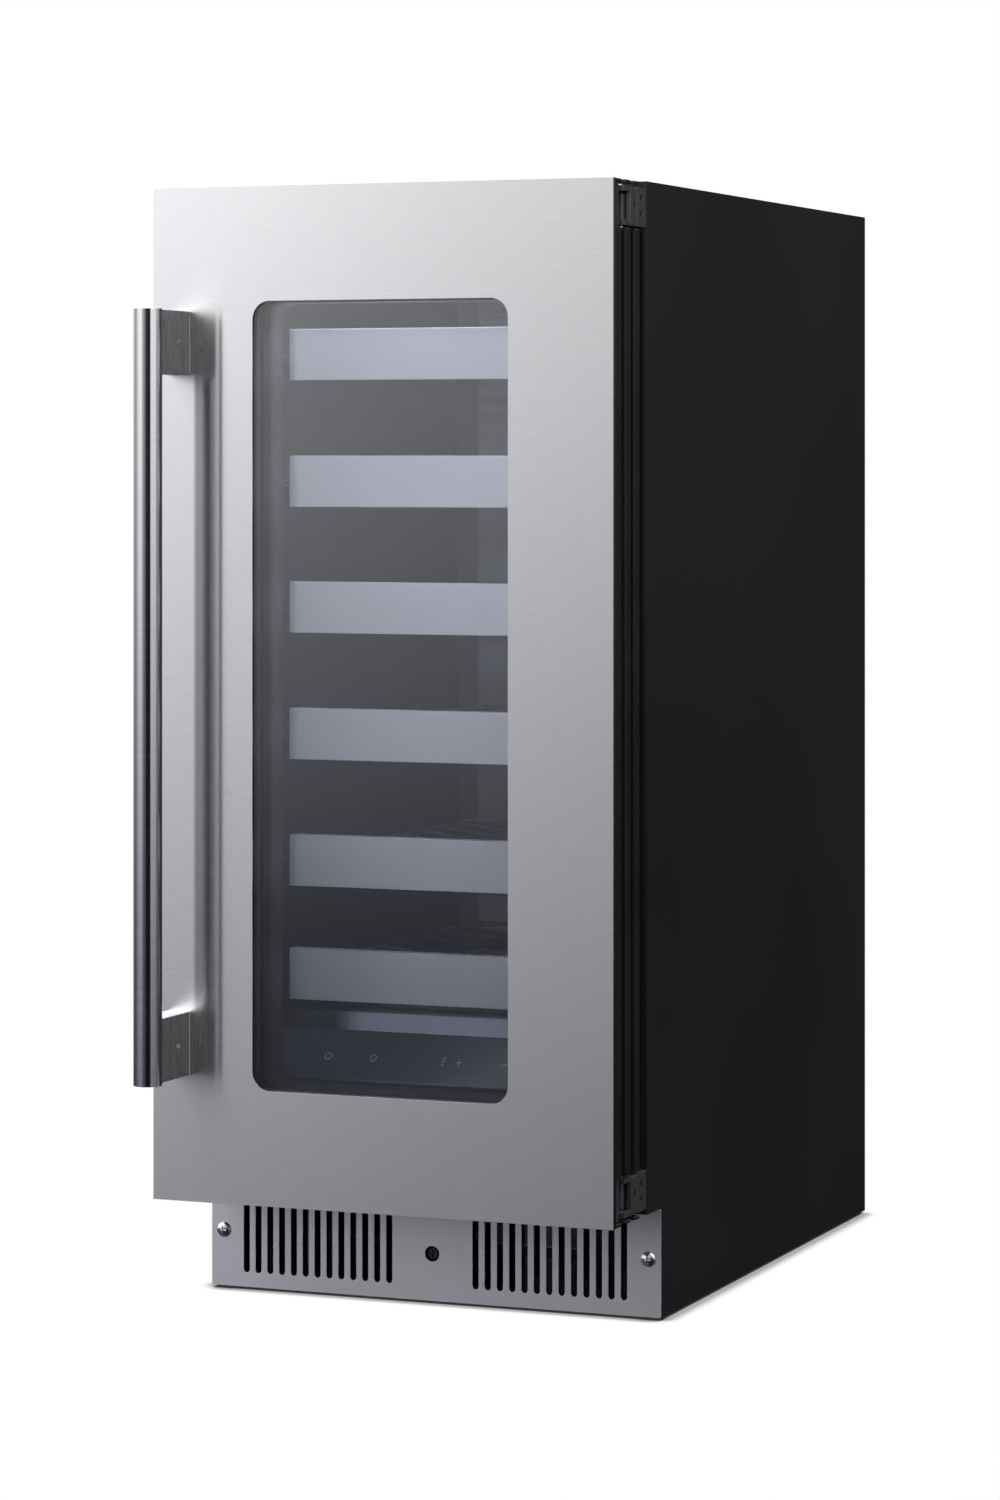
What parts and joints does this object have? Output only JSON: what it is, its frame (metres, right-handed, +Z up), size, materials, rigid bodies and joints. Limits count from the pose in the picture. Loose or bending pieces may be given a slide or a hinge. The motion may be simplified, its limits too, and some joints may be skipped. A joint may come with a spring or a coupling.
{
  "type": "wine cooler",
  "caption": "Narrow under-counter wine cooler with a glazed stainless door, tubular handle, pull-out shelves, control panel and a slotted toe-kick grille.",
  "frame": {"origin": "floor level, in the middle of the object's width and of its depth with the handle", "axes": "+X to the right as one faces the door, where the hinges are; -Y out through the door; +Z up"},
  "size_m": [0.378, 0.6938, 0.866],
  "materials": {
    "stainless": "brushed",
    "black_paint": "satin",
    "black_plastic": "satin",
    "hinge_steel": "satin dark",
    "glass": "tinted",
    "rubber": "matte",
    "foam": "rigid foam",
    "liner": "matte",
    "trim": "satin",
    "wire": "coated",
    "aluminium": "plain",
    "lamp": "diffuser",
    "dark_screw": "blackened"
  },
  "bodies": {
    "cabinet": {"back_panel": "black_paint", "base_tray": "black_paint", "circulation_fan_motor": "black_plastic", "compressor": "black_paint", "compressor_cover": "black_paint", "condenser": "black_paint", "condenser_fan_housing": "black_plastic", "control_panel": "black_plastic", "drip_tray": "black_plastic", "evaporator": "aluminium", "evaporator_cover": "liner", "foam_left": "foam", "foam_rear": "foam", "foam_right": "foam", "foam_top": "foam", "foot_front_left": "black_plastic", "foot_front_right": "black_plastic", "foot_rear_left": "black_plastic", "foot_rear_right": "black_plastic", "grille_screw_centre": "dark_screw", "grille_screw_left": "stainless", "grille_screw_right": "stainless", "hinge_bracket_bottom": "hinge_steel", "hinge_bracket_top": "hinge_steel", "inner_liner": "liner", "led_strip": "lamp", "power_inlet": "black_plastic", "shelf_rail_left": "black_plastic", "shelf_rail_right": "black_plastic", "side_panel_left": "black_paint", "side_panel_right": "black_paint", "toe_kick_grille": "stainless", "top_panel": "black_paint"},
    "door": {"door_panel": "stainless", "door_frame": "black_plastic", "door_glass_outer": "glass", "door_glass_inner": "glass", "glass_spacer": "aluminium", "door_gasket": "rubber", "handle_bar": "stainless", "handle_post_top": "stainless", "handle_post_bottom": "stainless", "set_screw_top": "dark_screw", "set_screw_bottom": "dark_screw", "hinge_leaf_top": "hinge_steel", "hinge_leaf_bottom": "hinge_steel"},
    "shelf_1": {"shelf_rack_1": "wire", "shelf_trim_1": "trim"},
    "shelf_2": {"shelf_rack_2": "wire", "shelf_trim_2": "trim"},
    "shelf_3": {"shelf_rack_3": "wire", "shelf_trim_3": "trim"},
    "shelf_4": {"shelf_rack_4": "wire", "shelf_trim_4": "trim"},
    "shelf_5": {"shelf_rack_5": "wire", "shelf_trim_5": "trim"},
    "shelf_6": {"shelf_rack_6": "wire", "shelf_trim_6": "trim"},
    "condenser_fan": {"condenser_fan": "black_plastic"},
    "circulation_fan": {"circulation_fan": "black_plastic"}
  },
  "joints": [
    {"name": "door_hinge", "type": "hinge", "parent": "cabinet", "child": "door", "pos_m": [0.177, -0.23815, 0.4755], "axis": [0, 0, 1], "range_deg": [0, 110]},
    {"name": "shelf_1_slide", "type": "slide", "parent": "cabinet", "child": "shelf_1", "axis": [0, -1, 0], "range_m": [0, 0.15]},
    {"name": "shelf_2_slide", "type": "slide", "parent": "cabinet", "child": "shelf_2", "axis": [0, -1, 0], "range_m": [0, 0.15]},
    {"name": "shelf_3_slide", "type": "slide", "parent": "cabinet", "child": "shelf_3", "axis": [0, -1, 0], "range_m": [0, 0.15]},
    {"name": "shelf_4_slide", "type": "slide", "parent": "cabinet", "child": "shelf_4", "axis": [0, -1, 0], "range_m": [0, 0.15]},
    {"name": "shelf_5_slide", "type": "slide", "parent": "cabinet", "child": "shelf_5", "axis": [0, -1, 0], "range_m": [0, 0.15]},
    {"name": "shelf_6_slide", "type": "slide", "parent": "cabinet", "child": "shelf_6", "axis": [0, -1, 0], "range_m": [0, 0.15]},
    {"name": "condenser_fan_spin", "type": "hinge", "parent": "cabinet", "child": "condenser_fan", "pos_m": [0, -0.12015, 0.0585], "axis": [0, 1, 0], "continuous": true},
    {"name": "circulation_fan_spin", "type": "hinge", "parent": "cabinet", "child": "circulation_fan", "pos_m": [0, 0.27085, 0.64], "axis": [0, 1, 0], "continuous": true}
  ],
  "couplings": [
    {"joint": "shelf_1_slide", "follows": "door_hinge", "m_per_rad": 0.078},
    {"joint": "shelf_2_slide", "follows": "door_hinge", "m_per_rad": 0.078},
    {"joint": "shelf_3_slide", "follows": "door_hinge", "m_per_rad": 0.078},
    {"joint": "shelf_4_slide", "follows": "door_hinge", "m_per_rad": 0.078},
    {"joint": "shelf_5_slide", "follows": "door_hinge", "m_per_rad": 0.078},
    {"joint": "shelf_6_slide", "follows": "door_hinge", "m_per_rad": 0.078}
  ]
}
